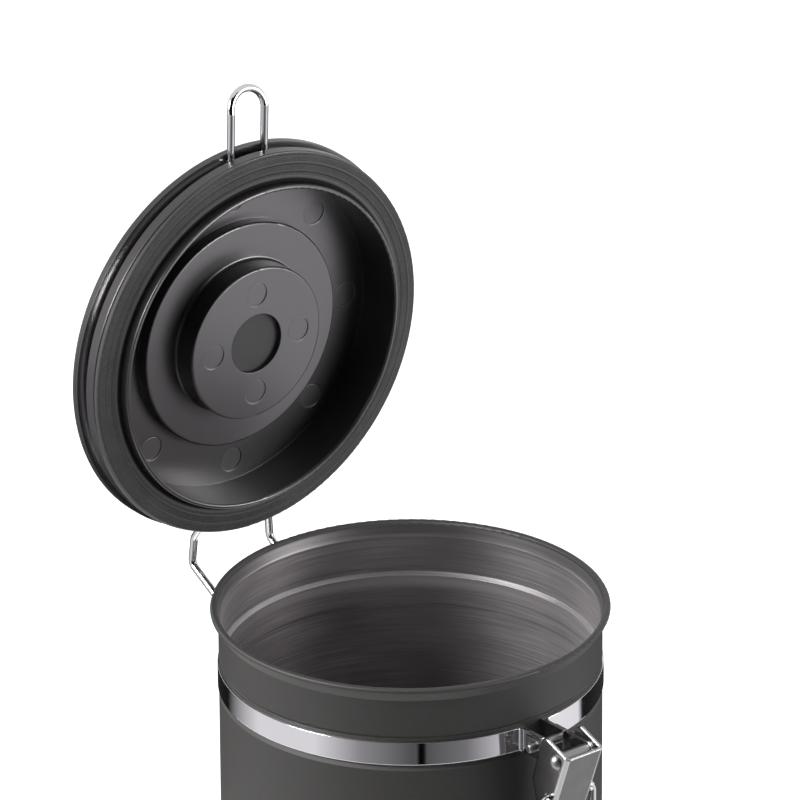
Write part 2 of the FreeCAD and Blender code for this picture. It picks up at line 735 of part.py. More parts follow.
        # tabs that the link's legs come to rest on
        slope = s["elbow_up"] / s["elbow_out"]
        lean = (slope * slope + 1).sqrt()
        under = (s["wire"] / 2 + s["stop_gap"]) * lean
        half = s["stop_width"] / 2
        root = self.plate_root(s["leg_spread"] - half, s["leg_spread"] + half)
        far = pivot + s["stop_reach"]
        root_height = height + (root - pivot) * slope - under
        far_height = height + (far - pivot) * slope - under
        tab = s["plate_thick"] * lean
        for side in (-1, 1):
            sketch = outline(body, "YZ_Plane", [
                (root, root_height - tab),
                (far, far_height - tab),
                (far, far_height),
                (root, root_height),
            ])
            sketch.setExpression("AttachmentOffset.Base.z", (s["leg_spread"] * side).text)
            pad(body, sketch, s["stop_width"])
        # barrel on its web
        bore = s["wire"] / 2 + s["pin_fit"]
        shell = bore + s["barrel_wall"]
        foot = self.plate_root(dim(0), self.barrel_length / 2)
        barrel = outline(body, "YZ_Plane", [
            (foot, height - shell),
            (pivot, height - shell),
            (pivot + shell, height, shell, "left"),
            (pivot, height + shell, shell, "left"),
            (foot, height + shell),
        ])
        pad(body, barrel, self.barrel_length)
        pocket(body, circles(body, "YZ_Plane", [(pivot, height)], bore), self.barrel_length * 2)
        across = s["plate_rivet_x"]
        spots = [(-across, self.plate_rivet_height), (across, self.plate_rivet_height)]
        holes = circles(body, "XZ_Plane", spots, s["plate_rivet_diameter"] / 2 + s["pin_fit"])
        pocket(body, holes, self.plate_outer * 2, both_ways=False)
        self.keep(body)

    def plate_root(self, near, far):
        """Where a straight foot between two distances off the middle is buried in the curved plate."""
        inside = (self.plate_inner * self.plate_inner - near * near).sqrt()
        outside = (self.plate_outer * self.plate_outer - far * far).sqrt()
        if outside.value < inside.value:
            raise RuntimeError("the hinge plate is too thin for what stands on it")
        return (inside + outside) / 2

    def hinge_rivets(self):
        s = self.size
        across, head = s["plate_rivet_x"].value, s["plate_rivet_head"].value
        dome, shank = s["plate_rivet_dome"].value, s["plate_rivet_diameter"].value / 2
        height = self.plate_rivet_height.value
        seat = math.sqrt(self.plate_outer.value ** 2 - (across - head) ** 2)
        inner = math.sqrt(self.band_inner.value ** 2 - (across - shank) ** 2)
        ball = (head ** 2 + dome ** 2) / (2 * dome)
        solids = []
        for side in (-1, 1):
            spot = Vector(side * across, 0, height)
            stem = Part.makeCylinder(shank, seat - inner, spot + Y_AXIS * inner, Y_AXIS)
            cap = Part.makeSphere(ball, spot + Y_AXIS * (seat + dome - ball))
            keeper = Part.makeCylinder(head, dome, spot + Y_AXIS * seat, Y_AXIS)
            solids.append(stem.fuse(cap.common(keeper)).removeSplitter().Solids[0])
        self.keep(shaped(self.doc, "hinge_rivets", Part.makeCompound(solids)))

    def hinge_link(self):
        s = self.size
        pivot = (self.pivot_reach.value, self.pivot_height.value)
        elbow = (pivot[0] + s["elbow_out"].value, pivot[1] + s["elbow_up"].value)
        knee = (pivot[0] + s["knee_out"].value, pivot[1] + s["knee_up"].value)
        eye_x, leg_x = self.eye_spread.value, s["leg_spread"].value
        knee_x = (eye_x + leg_x) / 2
        stations = [(eye_x, self.axle), (knee_x, knee), (leg_x, elbow), (leg_x, pivot)]
        left = [Vector(-x, *place) for x, place in stations]
        right = [Vector(x, *place) for x, place in reversed(stations)]
        bend = s["wire_bend"].value
        corners = [(point, bend) for point in left + right]
        shape = wire_along(bent_path(corners), s["wire"].value)
        bore = s["wire"].value / 2 + s["pin_fit"].value
        width = s["wire"].value
        for side in (-1, 1):
            start = Vector(side * eye_x - width / 2, *self.axle)
            shape = shape.fuse(Part.makeCylinder(self.eye_radius.value, width, start, X_AXIS))
        for side in (-1, 1):
            start = Vector(side * eye_x - width, *self.axle)
            shape = shape.cut(Part.makeCylinder(bore, width * 2, start, X_AXIS))
        self.keep(shaped(self.doc, "hinge_link", shape.removeSplitter().Solids[0]))

    # Lid

    def lid_wire(self):
        s = self.size
        ring, axle, half = self.ring_radius.value, self.axle_reach.value, s["loop_half"].value
        bend, rear_bend = s["wire_bend"].value, s["axle_bend"].value
        # right half, from the butt joint at the back to the foot of the loop's tip
        rear = Vector(math.sqrt((ring - rear_bend) ** 2 - (axle - rear_bend) ** 2), axle - rear_bend, 0)
        rear_ring = rear * (ring / (ring - rear_bend))
        rear_bar = Vector(rear.x, axle, 0)
        front = Vector(half + bend, -math.sqrt((ring + bend) ** 2 - (half + bend) ** 2), 0)
        front_ring = front * (ring / (ring + bend))
        front_leg = Vector(half, front.y, 0)
        rear_middle = rear + ((rear_ring + rear_bar) * 0.5 - rear).normalize() * rear_bend
        front_middle = front + ((front_ring + front_leg) * 0.5 - front).normalize() * bend
        # the tip rises beyond the place where the bail lies
        tilt, kink = math.radians(s["loop_tilt_angle"].value), s["loop_kink"].value
        setback = kink * math.tan(tilt / 2)
        tip_middle = half - (self.lid_radius + s["loop_length"]).value
        foot = Vector(half, tip_middle + setback, 0)
        rising = Vector(0, -math.cos(tilt), math.sin(tilt))
        kink_start = foot - Vector(0, -1, 0) * setback
        kink_end = foot + rising * setback
        inner = (Vector(0, 1, 0) + rising).normalize()
        kink_middle = foot + inner * (kink / math.cos(tilt / 2) - kink)
        right = [
            Part.LineSegment(Vector(s["wire_butt"].value / 2, axle, 0), rear_bar).toShape(),
            Part.Arc(rear_bar, rear_middle, rear_ring).toShape(),
            Part.Arc(rear_ring, Vector(ring, 0, 0), front_ring).toShape(),
            Part.Arc(front_ring, front_middle, front_leg).toShape(),
            Part.LineSegment(front_leg, kink_start).toShape(),
            Part.Arc(kink_start, kink_middle, kink_end).toShape(),
        ]
        across = Vector(-2 * half, 0, 0)
        crown = kink_end + across * 0.5 + rising * half
        tip = Part.Arc(kink_end, crown, kink_end + across).toShape()
        left = [edge.mirror(Vector(0, 0, 0), X_AXIS) for edge in reversed(right)]
        path = Part.__sortEdges__(right + [tip] + left)
        part = shaped(self.doc, "lid_wire", wire_along(path, s["wire"].value))
        rise = Vector(0, 0, self.ring_height.value)
        part.Placement = self.lid_place.multiply(FreeCAD.Placement(rise, FreeCAD.Rotation()))
        self.keep(part)

    def lid_body(self):
        s = self.size
        body = new_body(self.doc, "lid_body", self.lid_place)
        inside, collar, flange = self.collar_inner, self.collar_outer, self.lid_radius
        soft, root, plate = s["step_edge"], s["boss_root"], s["floor_thick"]
        groove_wall = self.ring_radius - s["wire"] / 2 - s["ring_fit"] * 2
        floor_edge = inside - s["collar_draft"]
        boss, step = self.boss_radius, self.step_radius
        boss_face, step_face = self.boss_height, self.step_height
        socket_low = boss_face + plate
        corners = [
            # underside, from the valve opening outwards
            (self.port_radius, socket_low),
            (self.port_radius, boss_face),
            (boss - soft, boss_face),
            (boss, boss_face + soft, soft, "left"),
            (boss, step_face - root),
            (boss + root, step_face, root, "right"),
            (step - soft, step_face),
            (step, step_face + soft, soft, "left"),
            (step, s["floor_height"]),
            (floor_edge, s["floor_height"]),
            (inside, soft),
            (inside + soft, 0, soft, "left"),
            (collar - soft, 0),
            (collar, soft, soft, "left"),
            (collar, self.gasket_top),
            # flanges and the groove for the wire
            (self.lower_flange - soft, self.gasket_top),
            (self.lower_flange, self.gasket_top + soft, soft, "left"),
            (self.lower_flange, self.groove_low),
            (groove_wall, self.groove_low),
            (groove_wall, self.groove_high),
            (flange, self.groove_high),
            (flange, self.flange_top),
            # top side, back to the valve
            (collar, self.flange_top),
            (collar, s["floor_height"] + plate),
            (step - plate, s["floor_height"] + plate),
            (step - plate, step_face + plate),
            (boss - plate, step_face + plate),
            (boss - plate, socket_low),
            (self.socket_outer, socket_low),
            (self.socket_outer, socket_low + s["socket_height"]),
            (self.socket, socket_low + s["socket_height"]),
            (self.socket, socket_low),
        ]
        revolve(body, outline(body, "XZ_Plane", corners))
        # recess for the hinge at the back
        half = self.recess_half
        sketch = outline(body, "XY_Plane", rectangle(-half, half, self.recess_wall, flange * 1.2))
        sketch.setExpression("AttachmentOffset.Base.z", self.recess_floor.text)
        feature = pocket(body, sketch, self.eye_radius * 3, both_ways=False)
        feature.Reversed = True
        for spread, count, height in (
            (self.port_radius + s["boss_mark_in"], BOSS_MARKS, boss_face),
            (floor_edge - s["floor_mark_in"], FLOOR_MARKS, s["floor_height"]),
        ):
            sketch = circles(body, "XY_Plane", [(0, spread)], s["mark_radius"])
            sketch.setExpression("AttachmentOffset.Base.z", height.text)
            mark = pocket(body, sketch, s["mark_depth"] * 2)
            repeat_round(body, mark, sketch, count)
        self.keep(body)

    def lid_cover(self):
        s = self.size
        body = new_body(self.doc, "lid_cover", self.lid_place)
        edge, round_out, soft = self.lid_radius, s["cover_edge"], s["cover_rim_edge"]
        raised = edge - s["cover_step"]
        inner = raised - s["cover_thick"]
        round_in = round_out - s["cover_thick"]
        low, under, top = self.cover_low, self.cover_inside, self.lid_height
        ledge = low + s["cover_rim"]
        dip = s["filter_radius"]
        corners = [
            (0, under),
            (inner - round_in, under),
            (inner, under - round_in),
            (inner, low),
            (edge, low),
            (edge, ledge - soft),
            (edge - soft, ledge),
            (raised, ledge),
            (raised, top - round_out),
            (raised - round_out, top, round_out, "left"),
            (dip + s["cover_dip"], top),
            (dip, top - s["cover_dip"]),
            (0, top - s["cover_dip"]),
        ]
        revolve(body, outline(body, "XZ_Plane", corners))
        # back wall of the hinge recess, then the recess itself
        half, wall = self.recess_half, self.recess_wall
        side, front = half + s["recess_thick"], wall + s["recess_room"]
        sketch = outline(body, "XY_Plane", rectangle(-side, side, wall - s["recess_thick"], front))
        sketch.setExpression("AttachmentOffset.Base.z", low.text)
        pad(body, sketch, under - low + s["cover_thick"] / 4, both_ways=False)
        sketch = outline(body, "XY_Plane", rectangle(-half, half, wall, edge * 1.2))
        pocket(body, sketch, top * 4)
        vent = circles(body, "XY_Plane", [(0, s["vent_ring"])], s["vent_radius"])
        repeat_round(body, pocket(body, vent, top * 4), vent, VENTS)
        self.keep(body)

    def gasket(self):
        s = self.size
        inner, outer = self.collar_outer + s["valve_fit"], self.gasket_radius
        low, high, edge = s["collar_depth"], self.gasket_top, s["gasket_edge"]
        corners = [
            (inner, high),
            (inner, low),
            (outer - edge, low),
            (outer, low + edge, edge, "left"),
            (outer, high),
        ]
        self.keep(turned(self.doc, "gasket", corners, self.lid_place))

    # Valve, up from the plate of the boss

    def valve_levels(self):
        s = self.size
        filter_low = self.boss_height + s["floor_thick"]
        filter_top = filter_low + s["filter_thick"]
        plate_low = filter_top + s["seat_skirt"]
        plate_top = plate_low + s["seat_plate"]
        return filter_low, filter_top, plate_low, plate_top

    def filter_disc(self):
        low, top, _, _ = self.valve_levels()
        corners = rectangle(0, self.size["filter_radius"], low, top)
        self.keep(turned(self.doc, "filter_disc", corners, self.lid_place))

    def valve_seat(self):
        s = self.size
        _, base, low, top = self.valve_levels()
        body = new_body(self.doc, "valve_seat", self.lid_place)
        outer, inner = s["filter_radius"], self.seat_inner
        rim = top + s["seat_rim"]
        corners = [
            (s["stem_radius"] + s["valve_fit"], low),
            (inner, low),
            (inner, base),
            (outer, base),
            (outer, rim),
            (inner, rim),
            (inner, top),
            (s["stem_radius"] + s["valve_fit"], top),
        ]
        revolve(body, outline(body, "XZ_Plane", corners))
        vent = circles(body, "XY_Plane", [(0, s["vent_ring"])], s["vent_radius"])
        repeat_round(body, pocket(body, vent, rim * 4), vent, VENTS)
        self.keep(body)

    def valve_disc(self):
        s = self.size
        _, _, plate_low, plate_top = self.valve_levels()
        low = plate_top + s["cover_gap"]
        knob_top = plate_low - s["valve_lift"] - s["cover_gap"]
        disc = self.seat_inner - s["umbrella_room"]
        corners = [
            (0, knob_top - s["knob_height"]),
            (s["stem_knob"], knob_top - s["knob_height"]),
            (s["stem_knob"], knob_top),
            (s["stem_radius"], knob_top),
            (s["stem_radius"], low),
            (disc, low),
            (disc, low + s["umbrella_thick"] / 2),
            (disc / 3, low + s["umbrella_thick"]),
            (0, low + s["umbrella_thick"]),
        ]
        self.keep(turned(self.doc, "valve_disc", corners, self.lid_place))

    def valve_cap(self):
        s = self.size
        _, _, _, plate_top = self.valve_levels()
        body = new_body(self.doc, "valve_cap", self.lid_place)
        low = plate_top + s["seat_rim"]
        corners = rectangle(0, s["filter_radius"], low, low + s["cap_thick"])
        revolve(body, outline(body, "XZ_Plane", corners))
        vent = circles(body, "XY_Plane", [(0, s["vent_ring"])], s["vent_radius"])
        repeat_round(body, pocket(body, vent, low * 4), vent, VENTS)
        self.keep(body)


def build(doc):
    canister = Canister(doc)
    canister.can_shell()
    canister.can_base()
    canister.clamp_band()
    canister.ear_pin()
    canister.latch_yoke()
    canister.lever_spacer()
    canister.lever_rivet()
    canister.latch_lever()
    canister.latch_bail()
    canister.hinge_plate()
    canister.hinge_rivets()
    canister.hinge_link()
    canister.lid_wire()
    canister.lid_body()
    canister.lid_cover()
    canister.gasket()
    canister.filter_disc()
    canister.valve_seat()
    canister.valve_disc()
    canister.valve_cap()
    doc.recompute()
    return canister.parts


def check(doc, parts):
    """Stop before anything is written if an object failed or a shape is bad."""
    for item in doc.Objects:
        if "Invalid" in item.State or "Error" in item.State:
            raise RuntimeError(f"{item.Label} failed: {item.State}")
    for part in parts:
        if part.Shape.isNull() or not part.Shape.isValid() or not part.Shape.Solids:
            raise RuntimeError(f"{part.Label} has no valid solid")


def export(parts):
    os.makedirs("parts", exist_ok=True)
    for part in parts:
        part.Shape.exportStep(os.path.join("parts", f"{part.Label}.step"))
        print(part.Label, len(part.Shape.Solids), round(part.Shape.Volume, 1))


document = FreeCAD.newDocument("canister")
pieces = build(document)
check(document, pieces)
export(pieces)
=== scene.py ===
import math

import bpy
from mathutils import Matrix, Vector


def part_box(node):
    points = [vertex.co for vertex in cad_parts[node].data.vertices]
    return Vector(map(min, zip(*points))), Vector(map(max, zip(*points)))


bl_info = {
    "name": "Coffee canister finishes",
    "version": (1, 0, 0),
    "blender": (4, 5, 0),
    "location": "View3D > Sidebar > Canister",
    "description": "Finishes, light and camera for a coffee canister with a hinged valve lid",
    "category": "Material",
}

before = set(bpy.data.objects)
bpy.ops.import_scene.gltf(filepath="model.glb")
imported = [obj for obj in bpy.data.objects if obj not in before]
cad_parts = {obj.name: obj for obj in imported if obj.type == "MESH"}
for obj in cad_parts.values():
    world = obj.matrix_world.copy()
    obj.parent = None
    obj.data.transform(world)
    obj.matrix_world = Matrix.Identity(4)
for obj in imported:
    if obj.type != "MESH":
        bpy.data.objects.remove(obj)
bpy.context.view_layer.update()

FILTER_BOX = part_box("filter_disc")
CAP_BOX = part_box("valve_cap")
LID_CENTRE = (FILTER_BOX[0] + FILTER_BOX[1]) / 2
LID_AXIS = ((CAP_BOX[0] + CAP_BOX[1]) / 2 - LID_CENTRE).normalized()
RIM_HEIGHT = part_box("can_shell")[1].z
RIM_CURL = 0.0011  # section radius of the rolled rim
BAND_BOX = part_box("clamp_band")
BAND_LOW, BAND_HIGH = BAND_BOX[0].z, BAND_BOX[1].z

WHITE = (1.0, 1.0, 1.0, 1.0)
BLACK = (0.0, 0.0, 0.0, 1.0)
VELVET = (0.01, 0.01, 0.01, 1.0)
DUST = (0.12, 0.12, 0.12)
SHADOW = (0.001, 0.001, 0.001)
TINY = 0.0001  # keeps divisions away from zero

FLOOR_RADIUS = 12.0
FLAG_REACH = 1.4
MIRROR_CARD_HEIGHT, LEVER_CARD_HEIGHT, FLOOR_FLAG_HEIGHT = 0.001, 0.002, 0.003


# Settings

def length(label, help_text, default):
    return bpy.props.FloatProperty(
        name=label, description=help_text, default=default, min=0.00002, max=1.0, precision=5,
        unit="LENGTH")


def shift(label, help_text, default):
    return bpy.props.FloatProperty(
        name=label, description=help_text, default=default, unit="LENGTH")


def angular(label, help_text, degrees):
    return bpy.props.FloatProperty(
        name=label, description=help_text, default=math.radians(degrees), subtype="ANGLE")


def share(label, help_text, default):
    return bpy.props.FloatProperty(
        name=label, description=help_text, default=default, min=0.0, max=1.0, subtype="FACTOR")


def amount(label, help_text, default):
    return bpy.props.FloatProperty(
        name=label, description=help_text, default=default, min=0.0, soft_max=100.0)


def wattage(label, help_text, default):
    return bpy.props.FloatProperty(
        name=label, description=help_text, default=default, min=0.0, unit="POWER")


def colour(label, help_text, default):
    return bpy.props.FloatVectorProperty(
        name=label, description=help_text, default=default, size=3, min=0.0, max=1.0,
        subtype="COLOR")


class CanLook(bpy.types.PropertyGroup):
    """Finishes of the can."""

    paint: colour("Paint", "Colour of the powder coat", (0.030, 0.029, 0.0275))
    paint_worn: colour("Worn paint", "Paint where it has been rubbed", (0.075, 0.073, 0.070))
    paint_grain: length("Paint grain", "Size of the grain in the powder coat", 0.00035)
    paint_roughness: share("Paint roughness", "How matt the powder coat is", 0.50)
    steel: colour("Inside", "Colour of the bare steel inside", (0.67, 0.637, 0.655))
    steel_metal: share("Steel metal", "How much the steel mirrors rather than scatters", 0.76)
    # painted reflection: the angle where the painted fan inside the can is darkest
    painted_fan_angle: angular("Fan", "Where the brushed steel is darkest", 51.0)
    brush_width: length("Brush lines", "Width of the brush lines inside", 0.00042)
    brush_length: length("Brush length", "Length of the brush lines inside", 0.040)
    steel_roughness: share("Steel roughness", "Roughness of the brushed steel", 0.34)


class BrightLook(bpy.types.PropertyGroup):
    """Finishes of the band, the latch and the wires."""

    band: colour("Band", "Colour of the polished band", (0.80, 0.80, 0.81))
    band_roughness: share("Band roughness", "Roughness of the polished band", 0.05)
    latch: colour("Latch", "Colour of the pressed latch parts", (0.44, 0.43, 0.435))
    latch_roughness: share("Latch roughness", "Roughness of the pressed latch parts", 0.18)
    edge: length("Edge", "Roundness of the pressed edges", 0.0010)
    wire: colour("Wire", "Colour of the chromed wire", (0.72, 0.72, 0.73))
    wire_roughness: share("Wire roughness", "Roughness of the chromed wire", 0.07)


class LidLook(bpy.types.PropertyGroup):
    """Finishes of the lid, the gasket and the valve."""

    plastic: colour("Plastic", "Colour of the moulded lid", (0.0115, 0.0107, 0.0109))
    plastic_roughness: share("Plastic roughness", "Roughness of the moulded lid", 0.32)
    plastic_grain: length("Plastic grain", "Size of the grain in the moulded surface", 0.00022)
    boss_marks: length("Boss marks", "Ring of ejector marks on the boss", 0.0169)
    floor_marks: length("Floor marks", "Ring of ejector marks on the floor of the pan", 0.0454)
    mark_radius: length("Mark radius", "Radius of the ejector marks", 0.004)
    rubber: colour("Rubber", "Colour of the gasket", (0.035, 0.034, 0.036))
    rubber_ring: length("Ring pitch", "Pitch of the fine rings on the gasket", 0.0009)
    gasket_inner: length("Gasket", "Inner radius of the gasket", 0.0544)
    filter_cloth: colour("Filter", "Colour of the filter cloth", (0.060, 0.058, 0.061))
    weave: length("Weave", "Pitch of the filter's weave", 0.00045)
    valve_plastic: colour("Valve", "Colour of the valve's plastic parts", (0.05, 0.05, 0.05))
    valve_rubber: colour("Valve rubber", "Colour of the valve's rubber disc", (0.25, 0.24, 0.23))


class StageLook(bpy.types.PropertyGroup):
    """Floor, light and camera."""

    floor: colour("Floor", "Colour of the floor", (0.88, 0.88, 0.88))
    floor_glow: amount("Floor glow", "Extra light from the floor", 0.40)
    sky: amount("Sky", "Strength of the even light from all round", 0.85)
    key_power: wattage("Key", "Power of the soft box on the left", 18.5)
    fill_power: wattage("Fill", "Power of the soft box on the right", 6.5)
    cards: amount("Cards", "Strength of the cards that the bright metal mirrors", 1.0)
    lever_tone: amount("Lever tone", "Tone of the card that the lever's front mirrors", 0.38)
    azimuth: angular("Azimuth", "Where the camera stands round the can", -38.82)
    elevation: angular("Elevation", "How far the camera looks down", 24.26)
    roll: angular("Roll", "Tilt of the picture", -0.375)
    distance: bpy.props.FloatProperty(
        name="Distance", description="Camera to the middle of the rim", default=3.023, min=0.1,
        unit="LENGTH")
    focal_length: bpy.props.FloatProperty(
        name="Focal length", description="Focal length on a 36 mm sensor", default=436.3, min=1.0,
        unit="CAMERA")
    across: shift("Across", "Shift of the camera to the right", -0.00279)
    upward: shift("Upward", "Shift of the camera upwards", 0.06407)


class CanisterSettings(bpy.types.PropertyGroup):
    """All settings of the canister."""

    can: bpy.props.PointerProperty(
        type=CanLook, name="Can", description="Finishes of the can")
    bright: bpy.props.PointerProperty(
        type=BrightLook, name="Bright", description="Band, latch and wires")
    lid: bpy.props.PointerProperty(
        type=LidLook, name="Lid", description="Lid, gasket and valve")
    stage: bpy.props.PointerProperty(
        type=StageLook, name="Stage", description="Floor, light and camera")


# Materials

class Value:
    """A number that varies over a surface; arithmetic on it adds Math nodes."""

    def __init__(self, finish, socket):
        self.finish = finish
        self.socket = socket

    def math(self, operation, *others):
        inputs = dict(enumerate((self, *others)))
        node = self.finish.node("ShaderNodeMath", {"operation": operation}, inputs)
        return Value(self.finish, node.outputs[0])

    def swapped(self, operation, first):
        node = self.finish.node("ShaderNodeMath", {"operation": operation}, {0: first, 1: self})
        return Value(self.finish, node.outputs[0])

    def __add__(self, other):
        return self.math("ADD", other)

    def __radd__(self, other):
        return self.swapped("ADD", other)

    def __sub__(self, other):
        return self.math("SUBTRACT", other)

    def __rsub__(self, other):
        return self.swapped("SUBTRACT", other)

    def __mul__(self, other):
        return self.math("MULTIPLY", other)

    def __rmul__(self, other):
        return self.swapped("MULTIPLY", other)

    def __truediv__(self, other):
        return self.math("DIVIDE", other)

    def __rtruediv__(self, other):
        return self.swapped("DIVIDE", other)

    def step(self, low, high):
        """0 below low and 1 above high, smooth between; low may be the larger one."""
        inputs = {"Value": self, "From Min": low, "From Max": high}
        node = self.finish.node("ShaderNodeMapRange", {"interpolation_type": "SMOOTHSTEP"}, inputs)
        return Value(self.finish, node.outputs["Result"])

    def near(self, middle, width):
        """1 at middle, falling to 0 at width to either side."""
        return (self - middle).math("ABSOLUTE").step(width, 0.0)


class Finish:
    """A procedural material while it is being built."""

    def __init__(self, name, **constants):
        self.material = bpy.data.materials.new(name)
        self.material.use_nodes = True
        self.tree = self.material.node_tree
        self.tree.nodes.clear()
        self.surface = self.node("ShaderNodeBsdfPrincipled")
        for socket, number in constants.items():
            self.surface.inputs[socket.replace("_", " ")].default_value = number
        self.node("ShaderNodeOutputMaterial", None, {"Surface": self.surface.outputs[0]})
        where = self.node("ShaderNodeTexCoord")
        self.place = where.outputs["Object"]
        self.facing = where.outputs["Normal"]

    def node(self, kind, settings=None, inputs=None):
        """A node with its settings, among them a ramp's stops, and then its inputs."""
        made = self.tree.nodes.new(kind)
        for key, setting in (settings or {}).items():
            if key == "stops":
                fill_ramp(made.color_ramp, setting)
            else:
                setattr(made, key, setting)
        for key, given in (inputs or {}).items():
            self.feed(made.inputs[key], given)
        return made

    def feed(self, socket, given):
        if isinstance(given, Value):
            given = given.socket
        if isinstance(given, bpy.types.NodeSocket):
            self.tree.links.new(given, socket)
        else:
            socket.default_value = given

    def set(self, name, given):
        self.feed(self.surface.inputs[name], given)

    def split(self, vector):
        node = self.node("ShaderNodeSeparateXYZ", None, {0: vector})
        return [Value(self, output) for output in node.outputs]

    def join(self, x, y, z):
        return self.node("ShaderNodeCombineXYZ", None, {0: x, 1: y, 2: z}).outputs[0]

    def vector(self, operation, first, second):
        return self.node("ShaderNodeVectorMath", {"operation": operation}, {0: first, 1: second})

    def stretched(self, x, y, z):
        """The place on the surface, scaled along each axis."""
        return self.vector("MULTIPLY", self.place, (x, y, z)).outputs["Vector"]

    def noise(self, vector, scale=1.0, detail=2.0, roughness=0.5):
        inputs = {"Vector": vector, "Scale": scale, "Detail": detail, "Roughness": roughness}
        return Value(self, self.node("ShaderNodeTexNoise", None, inputs).outputs[0])

    def spots(self, vector, scale):
        """Distance to the nearest of many scattered points."""
        node = self.node("ShaderNodeTexVoronoi", None, {"Vector": vector, "Scale": scale})
        return Value(self, node.outputs["Distance"])

    def blend(self, factor, first, second):
        """Colour between two colours."""
        inputs = {0: factor, 6: opaque(first), 7: opaque(second)}
        return self.node("ShaderNodeMix", {"data_type": "RGBA"}, inputs).outputs[2]

    def bump(self, height, distance=1.0, normal=None):
        """Normal of a relief; distance is what a height of 1 stands for, in metres."""
        inputs = {"Height": height, "Distance": distance, "Strength": 1.0}
        if normal:
            inputs["Normal"] = normal
        return self.node("ShaderNodeBump", None, inputs).outputs[0]

    def soft_edges(self, radius):
        """Normal with the sharp edges rounded."""
        return self.node("ShaderNodeBevel", {"samples": 6}, {"Radius": radius}).outputs[0]

    def round_axis(self, centre, axis):
        """Distance from an axis, and the height along it."""
        arm = self.vector("SUBTRACT", self.place, centre).outputs["Vector"]
        along = Value(self, self.vector("DOT_PRODUCT", arm, axis).outputs["Value"])
        reach = Value(self, self.vector("LENGTH", arm, (0.0, 0.0, 0.0)).outputs["Value"])
        return (reach * reach - along * along).math("MAXIMUM", 0.0).math("SQRT"), along

    def dress(self, *names):
        for name in names:
            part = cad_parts[name]
            part.data.materials.clear()
            part.data.materials.append(self.material)


def fill_ramp(ramp, stops):
    while len(ramp.elements) < len(stops):
        ramp.elements.new(0.5)
    for element, (position, tint) in zip(ramp.elements, stops):
        element.position = position
        element.color = opaque(tint)


def opaque(given):
    """A colour with its alpha, or a link as it is."""
    return given if isinstance(given, bpy.types.NodeSocket) else (*given, 1.0)


def shade(tint, factor):
    return tuple(min(channel * factor, 1.0) for channel in tint)


def can_finish(look):
    """Powder coat outside and over the rolled rim, brushed steel on the wall's inside."""
    finish = Finish("can_paint_and_steel", Anisotropic=0.55, IOR=1.5)
    x, y, z = finish.split(finish.place)
    facing_x, facing_y, facing_z = finish.split(finish.facing)
    radius = (x * x + y * y).math("SQRT").math("MAXIMUM", TINY)
    outward = (facing_x * x + facing_y * y) / radius
    bare_top, paint_edge = RIM_HEIGHT - RIM_CURL, 0.0006
    bare = outward.step(-0.40, -0.62) * z.step(bare_top, bare_top - paint_edge)

    coat, coat_roughness, coat_relief = powder_coat(finish, look, z)
    turn = y.math("ARCTAN2", x)
    steel, steel_roughness, steel_relief = brushed_steel(finish, look, turn, z, facing_z)
    finish.set("Base Color", finish.blend(bare, coat, steel))
    finish.set("Metallic", bare * look.steel_metal)
    finish.set("Roughness", coat_roughness + bare * (steel_roughness - coat_roughness))
    finish.set("Normal", finish.bump(coat_relief * (1 - bare) + steel_relief * bare))
    return finish


def powder_coat(finish, look, z):
    """Colour, roughness and relief of the paint, rubbed along the band's edges."""
    grain = finish.noise(finish.place, scale=1.0 / look.paint_grain, detail=3.0, roughness=0.65)
    orange_peel = finish.noise(finish.place, scale=0.25 / look.paint_grain, detail=1.0)
    cloud = finish.noise(finish.place, scale=22.0, detail=3.0)
    chips = finish.noise(finish.place, scale=420.0, detail=4.0, roughness=0.7)
    line_gap, line_width = 0.0009, 0.0006
    high_line = z.near(BAND_HIGH + line_gap, line_width)
    low_line = z.near(BAND_LOW - line_gap, line_width)
    rubbed = high_line.math("MAXIMUM", low_line) * 0.3 * chips.step(0.35, 0.7)
    coat = finish.blend(cloud, shade(look.paint, 0.93), shade(look.paint, 1.07))
    coat = finish.blend(grain.step(0.42, 0.72) * 0.30, coat, look.paint_worn)
    coat = finish.blend(rubbed, coat, look.paint_worn)
    uneven = (cloud - 0.5) * 0.08 + (grain - 0.5) * 0.18 - rubbed * 0.08
    relief = (grain * 0.5 + orange_peel * 0.5) * 0.000020
    return coat, look.paint_roughness + uneven, relief


